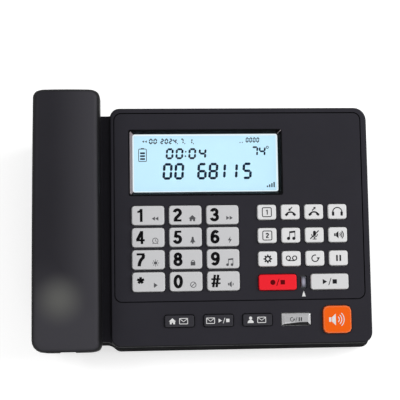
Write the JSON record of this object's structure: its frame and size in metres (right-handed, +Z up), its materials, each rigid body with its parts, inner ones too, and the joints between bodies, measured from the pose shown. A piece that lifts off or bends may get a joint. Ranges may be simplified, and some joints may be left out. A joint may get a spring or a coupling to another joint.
{
  "type": "desk telephone",
  "caption": "Desk telephone with a recorder: sloping base with display and press keys, a lying handset on a hook switch, sliding battery door and rubber feet.",
  "frame": {"origin": "middle of the footprint, on the surface that the feet stand on", "axes": "+X to the user's right along the key rows, +Y to the rear, +Z up"},
  "size_m": [0.2526, 0.1906, 0.0787],
  "materials": {
    "deck_plastic": "fine matt moulded ABS",
    "base_plastic": "fine matt moulded ABS",
    "handset_plastic": "satin moulded ABS",
    "dark_key": "satin key cap",
    "dial_key": "satin key cap with dark legend",
    "function_key": "satin key cap with dark legend",
    "white_key": "satin key cap with dark legend",
    "red_key": "satin key cap with white legend",
    "silver_key": "silver-painted key cap",
    "orange_key": "gloss key cap with white legend",
    "bezel": "polished black bevel",
    "clear_window": "clear plate",
    "display": "backlit liquid crystal display",
    "rubber": "moulded silicone rubber",
    "circuit_board": "solder-masked board",
    "transducer_metal": "plated can",
    "spring_steel": "drawn wire",
    "socket_plastic": "moulded nylon",
    "lamp_lens": "tinted lens"
  },
  "bodies": {
    "base": {"lower_shell": "base_plastic", "upper_shell": "deck_plastic", "face_panel": "deck_plastic", "display_bezel": "bezel", "display_window": "clear_window", "display_module": "display", "keymat": "rubber", "key_board": "circuit_board", "main_board": "circuit_board", "loudspeaker": "transducer_metal", "desk_microphone": "transducer_metal", "hook_spring": "spring_steel", "hook_switch": "socket_plastic", "base_handset_socket": "socket_plastic", "line_socket": "socket_plastic", "power_socket": "socket_plastic", "record_light": "lamp_lens", "foot_1": "rubber", "foot_2": "rubber", "foot_3": "rubber", "foot_4": "rubber"},
    "handset": {"handset_outer_shell": "handset_plastic", "handset_inner_shell": "handset_plastic", "handset_earpiece": "transducer_metal", "handset_microphone": "transducer_metal", "handset_socket": "socket_plastic"},
    "hook_plunger": {"hook_plunger": "dark_key"},
    "battery_door": {"battery_door": "base_plastic"},
    "key_1": {"key_1": "dial_key"},
    "key_2": {"key_2": "dial_key"},
    "key_3": {"key_3": "dial_key"},
    "key_4": {"key_4": "dial_key"},
    "key_5": {"key_5": "dial_key"},
    "key_6": {"key_6": "dial_key"},
    "key_7": {"key_7": "dial_key"},
    "key_8": {"key_8": "dial_key"},
    "key_9": {"key_9": "dial_key"},
    "key_star": {"key_star": "dial_key"},
    "key_0": {"key_0": "dial_key"},
    "key_hash": {"key_hash": "dial_key"},
    "key_memory_1": {"key_memory_1": "function_key"},
    "key_incoming": {"key_incoming": "function_key"},
    "key_outgoing": {"key_outgoing": "function_key"},
    "key_earphone": {"key_earphone": "function_key"},
    "key_memory_2": {"key_memory_2": "function_key"},
    "key_music": {"key_music": "function_key"},
    "key_mute": {"key_mute": "function_key"},
    "key_volume": {"key_volume": "function_key"},
    "key_setup": {"key_setup": "function_key"},
    "key_recordings": {"key_recordings": "function_key"},
    "key_call_back": {"key_call_back": "function_key"},
    "key_pause": {"key_pause": "function_key"},
    "key_record_stop": {"key_record_stop": "red_key"},
    "key_record_play": {"key_record_play": "white_key"},
    "key_message_1": {"key_message_1": "dark_key"},
    "key_message_2": {"key_message_2": "dark_key"},
    "key_message_3": {"key_message_3": "dark_key"},
    "key_redial": {"key_redial": "silver_key"},
    "key_speakerphone": {"key_speakerphone": "orange_key"}
  },
  "joints": [
    {"name": "handset_lift", "type": "slide", "parent": "base", "child": "handset", "axis": [0, -0.1908, 0.9816], "range_m": [0, 0.08]},
    {"name": "hook_plunger_rise", "type": "slide", "parent": "base", "child": "hook_plunger", "axis": [0, -0.1908, 0.9816], "range_m": [0, 0.004], "deforming": ["hook_spring"]},
    {"name": "battery_door_slide", "type": "slide", "parent": "base", "child": "battery_door", "axis": [0, 1, 0], "range_m": [0, 0.062]},
    {"name": "key_1_press", "type": "slide", "parent": "base", "child": "key_1", "axis": [0, 0.1908, -0.9816], "range_m": [0, 0.0012], "stiffness_N_per_m": 600, "springref_m": -0.0008, "deforming": ["keymat"]},
    {"name": "key_2_press", "type": "slide", "parent": "base", "child": "key_2", "axis": [0, 0.1908, -0.9816], "range_m": [0, 0.0012], "stiffness_N_per_m": 600, "springref_m": -0.0008, "deforming": ["keymat"]},
    {"name": "key_3_press", "type": "slide", "parent": "base", "child": "key_3", "axis": [0, 0.1908, -0.9816], "range_m": [0, 0.0012], "stiffness_N_per_m": 600, "springref_m": -0.0008, "deforming": ["keymat"]},
    {"name": "key_4_press", "type": "slide", "parent": "base", "child": "key_4", "axis": [0, 0.1908, -0.9816], "range_m": [0, 0.0012], "stiffness_N_per_m": 600, "springref_m": -0.0008, "deforming": ["keymat"]},
    {"name": "key_5_press", "type": "slide", "parent": "base", "child": "key_5", "axis": [0, 0.1908, -0.9816], "range_m": [0, 0.0012], "stiffness_N_per_m": 600, "springref_m": -0.0008, "deforming": ["keymat"]},
    {"name": "key_6_press", "type": "slide", "parent": "base", "child": "key_6", "axis": [0, 0.1908, -0.9816], "range_m": [0, 0.0012], "stiffness_N_per_m": 600, "springref_m": -0.0008, "deforming": ["keymat"]},
    {"name": "key_7_press", "type": "slide", "parent": "base", "child": "key_7", "axis": [0, 0.1908, -0.9816], "range_m": [0, 0.0012], "stiffness_N_per_m": 600, "springref_m": -0.0008, "deforming": ["keymat"]},
    {"name": "key_8_press", "type": "slide", "parent": "base", "child": "key_8", "axis": [0, 0.1908, -0.9816], "range_m": [0, 0.0012], "stiffness_N_per_m": 600, "springref_m": -0.0008, "deforming": ["keymat"]},
    {"name": "key_9_press", "type": "slide", "parent": "base", "child": "key_9", "axis": [0, 0.1908, -0.9816], "range_m": [0, 0.0012], "stiffness_N_per_m": 600, "springref_m": -0.0008, "deforming": ["keymat"]},
    {"name": "key_star_press", "type": "slide", "parent": "base", "child": "key_star", "axis": [0, 0.1908, -0.9816], "range_m": [0, 0.0012], "stiffness_N_per_m": 600, "springref_m": -0.0008, "deforming": ["keymat"]},
    {"name": "key_0_press", "type": "slide", "parent": "base", "child": "key_0", "axis": [0, 0.1908, -0.9816], "range_m": [0, 0.0012], "stiffness_N_per_m": 600, "springref_m": -0.0008, "deforming": ["keymat"]},
    {"name": "key_hash_press", "type": "slide", "parent": "base", "child": "key_hash", "axis": [0, 0.1908, -0.9816], "range_m": [0, 0.0012], "stiffness_N_per_m": 600, "springref_m": -0.0008, "deforming": ["keymat"]},
    {"name": "key_memory_1_press", "type": "slide", "parent": "base", "child": "key_memory_1", "axis": [0, 0.1908, -0.9816], "range_m": [0, 0.0012], "stiffness_N_per_m": 600, "springref_m": -0.0008, "deforming": ["keymat"]},
    {"name": "key_incoming_press", "type": "slide", "parent": "base", "child": "key_incoming", "axis": [0, 0.1908, -0.9816], "range_m": [0, 0.0012], "stiffness_N_per_m": 600, "springref_m": -0.0008, "deforming": ["keymat"]},
    {"name": "key_outgoing_press", "type": "slide", "parent": "base", "child": "key_outgoing", "axis": [0, 0.1908, -0.9816], "range_m": [0, 0.0012], "stiffness_N_per_m": 600, "springref_m": -0.0008, "deforming": ["keymat"]},
    {"name": "key_earphone_press", "type": "slide", "parent": "base", "child": "key_earphone", "axis": [0, 0.1908, -0.9816], "range_m": [0, 0.0012], "stiffness_N_per_m": 600, "springref_m": -0.0008, "deforming": ["keymat"]},
    {"name": "key_memory_2_press", "type": "slide", "parent": "base", "child": "key_memory_2", "axis": [0, 0.1908, -0.9816], "range_m": [0, 0.0012], "stiffness_N_per_m": 600, "springref_m": -0.0008, "deforming": ["keymat"]},
    {"name": "key_music_press", "type": "slide", "parent": "base", "child": "key_music", "axis": [0, 0.1908, -0.9816], "range_m": [0, 0.0012], "stiffness_N_per_m": 600, "springref_m": -0.0008, "deforming": ["keymat"]},
    {"name": "key_mute_press", "type": "slide", "parent": "base", "child": "key_mute", "axis": [0, 0.1908, -0.9816], "range_m": [0, 0.0012], "stiffness_N_per_m": 600, "springref_m": -0.0008, "deforming": ["keymat"]},
    {"name": "key_volume_press", "type": "slide", "parent": "base", "child": "key_volume", "axis": [0, 0.1908, -0.9816], "range_m": [0, 0.0012], "stiffness_N_per_m": 600, "springref_m": -0.0008, "deforming": ["keymat"]},
    {"name": "key_setup_press", "type": "slide", "parent": "base", "child": "key_setup", "axis": [0, 0.1908, -0.9816], "range_m": [0, 0.0012], "stiffness_N_per_m": 600, "springref_m": -0.0008, "deforming": ["keymat"]},
    {"name": "key_recordings_press", "type": "slide", "parent": "base", "child": "key_recordings", "axis": [0, 0.1908, -0.9816], "range_m": [0, 0.0012], "stiffness_N_per_m": 600, "springref_m": -0.0008, "deforming": ["keymat"]},
    {"name": "key_call_back_press", "type": "slide", "parent": "base", "child": "key_call_back", "axis": [0, 0.1908, -0.9816], "range_m": [0, 0.0012], "stiffness_N_per_m": 600, "springref_m": -0.0008, "deforming": ["keymat"]},
    {"name": "key_pause_press", "type": "slide", "parent": "base", "child": "key_pause", "axis": [0, 0.1908, -0.9816], "range_m": [0, 0.0012], "stiffness_N_per_m": 600, "springref_m": -0.0008, "deforming": ["keymat"]},
    {"name": "key_record_stop_press", "type": "slide", "parent": "base", "child": "key_record_stop", "axis": [0, 0.1908, -0.9816], "range_m": [0, 0.0012], "stiffness_N_per_m": 600, "springref_m": -0.0008, "deforming": ["keymat"]},
    {"name": "key_record_play_press", "type": "slide", "parent": "base", "child": "key_record_play", "axis": [0, 0.1908, -0.9816], "range_m": [0, 0.0012], "stiffness_N_per_m": 600, "springref_m": -0.0008, "deforming": ["keymat"]},
    {"name": "key_message_1_press", "type": "slide", "parent": "base", "child": "key_message_1", "axis": [0, 0.1908, -0.9816], "range_m": [0, 0.0012], "stiffness_N_per_m": 600, "springref_m": -0.0008, "deforming": ["keymat"]},
    {"name": "key_message_2_press", "type": "slide", "parent": "base", "child": "key_message_2", "axis": [0, 0.1908, -0.9816], "range_m": [0, 0.0012], "stiffness_N_per_m": 600, "springref_m": -0.0008, "deforming": ["keymat"]},
    {"name": "key_message_3_press", "type": "slide", "parent": "base", "child": "key_message_3", "axis": [0, 0.1908, -0.9816], "range_m": [0, 0.0012], "stiffness_N_per_m": 600, "springref_m": -0.0008, "deforming": ["keymat"]},
    {"name": "key_redial_press", "type": "slide", "parent": "base", "child": "key_redial", "axis": [0, 0.1908, -0.9816], "range_m": [0, 0.0012], "stiffness_N_per_m": 600, "springref_m": -0.0008, "deforming": ["keymat"]},
    {"name": "key_speakerphone_press", "type": "slide", "parent": "base", "child": "key_speakerphone", "axis": [0, 0.1908, -0.9816], "range_m": [0, 0.0012], "stiffness_N_per_m": 600, "springref_m": -0.0008, "deforming": ["keymat"]}
  ],
  "couplings": [
    {"joint": "hook_plunger_rise", "follows": "handset_lift", "ratio": 0.05}
  ]
}
